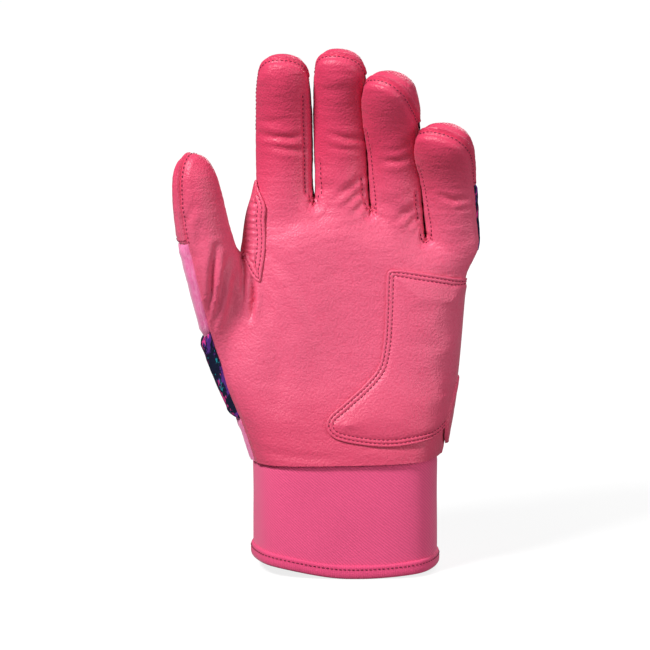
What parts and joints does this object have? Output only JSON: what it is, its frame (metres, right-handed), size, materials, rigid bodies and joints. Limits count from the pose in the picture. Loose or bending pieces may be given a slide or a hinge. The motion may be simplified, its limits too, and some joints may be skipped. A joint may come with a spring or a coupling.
{
  "type": "batting glove",
  "caption": "Left-hand batting glove as worn: leather palm and finger fronts, stretch printed back, padded heel, tall pull-on cuff with a back wrist strap.",
  "frame": {"origin": "centre of the wrist opening, in the plane of the hem's lower face", "axes": "+Z from the wrist to the fingertips, -Y out of the palm, -X to the thumb's side"},
  "size_m": [0.1265, 0.0573, 0.2207],
  "materials": {
    "leather": "soft matte sheepskin, coral pink",
    "print": null,
    "fourchette": "matte stretch fabric, deep pink",
    "stretch": "matte heathered stretch fabric, pink",
    "foam": "closed-cell foam, off-white",
    "cuff": "neoprene faced with a fine twill, pink",
    "binding": "rolled binding, pink",
    "hook_loop": "hook and loop tape",
    "tab": "satin moulded rubber"
  },
  "bodies": {
    "hand": {"palm_leather": "leather", "back_panel": "print", "radial_gusset": "stretch", "ulnar_panel": "leather", "thumb_stretch_lower": "stretch", "heel_pad_foam": "foam", "heel_pad_cover": "leather", "crotch_patch": "leather", "cuff": "cuff", "cuff_hem": "binding", "strap_anchor": "cuff", "loop_patch": "hook_loop"},
    "index": {"index_front": "leather", "index_back_stretch": "print", "index_back_cap": "leather", "index_fourchette_outer": "fourchette"},
    "middle": {"middle_front": "leather", "middle_back_stretch": "print", "middle_back_cap": "leather", "middle_fourchette_inner": "fourchette", "middle_fourchette_outer": "fourchette"},
    "ring": {"ring_front": "leather", "ring_back_stretch": "print", "ring_back_cap": "leather", "ring_fourchette_inner": "fourchette", "ring_fourchette_outer": "fourchette"},
    "pinky": {"pinky_front": "leather", "pinky_back_stretch": "print", "pinky_back_cap": "leather", "pinky_fourchette_inner": "fourchette"},
    "thumb": {"thumb_front": "leather", "thumb_stretch_upper": "stretch", "thumb_back_cap": "leather"},
    "strap": {"strap": "cuff", "hook_patch": "hook_loop", "pull_tab": "tab"}
  },
  "joints": [
    {"name": "index_flex", "type": "hinge", "parent": "hand", "child": "index", "pos_m": [-0.0262, -0.00989, 0.15356], "axis": [1, 0, 0], "range_deg": [0, 75], "stiffness_Nm_per_rad": 0.05},
    {"name": "middle_flex", "type": "hinge", "parent": "hand", "child": "middle", "pos_m": [-0.00213, -0.01026, 0.15311], "axis": [0.9997, 0, 0.0262], "range_deg": [0, 75], "stiffness_Nm_per_rad": 0.05},
    {"name": "ring_flex", "type": "hinge", "parent": "hand", "child": "ring", "pos_m": [0.02055, -0.01013, 0.14516], "axis": [0.9984, 0, 0.0558], "range_deg": [0, 75], "stiffness_Nm_per_rad": 0.05},
    {"name": "pinky_flex", "type": "hinge", "parent": "hand", "child": "pinky", "pos_m": [0.04348, -0.00943, 0.13694], "axis": [0.9962, 0, 0.0872], "range_deg": [0, 75], "stiffness_Nm_per_rad": 0.05},
    {"name": "thumb_flex", "type": "hinge", "parent": "hand", "child": "thumb", "pos_m": [-0.05152, -0.01903, 0.12686], "axis": [0.5832, 0.1501, 0.7983], "range_deg": [0, 40], "stiffness_Nm_per_rad": 0.05},
    {"name": "strap_peel", "type": "hinge", "parent": "hand", "child": "strap", "pos_m": [0.02818, 0.02236, 0.026], "axis": [0, 0, -1], "range_deg": [0, 110]}
  ]
}
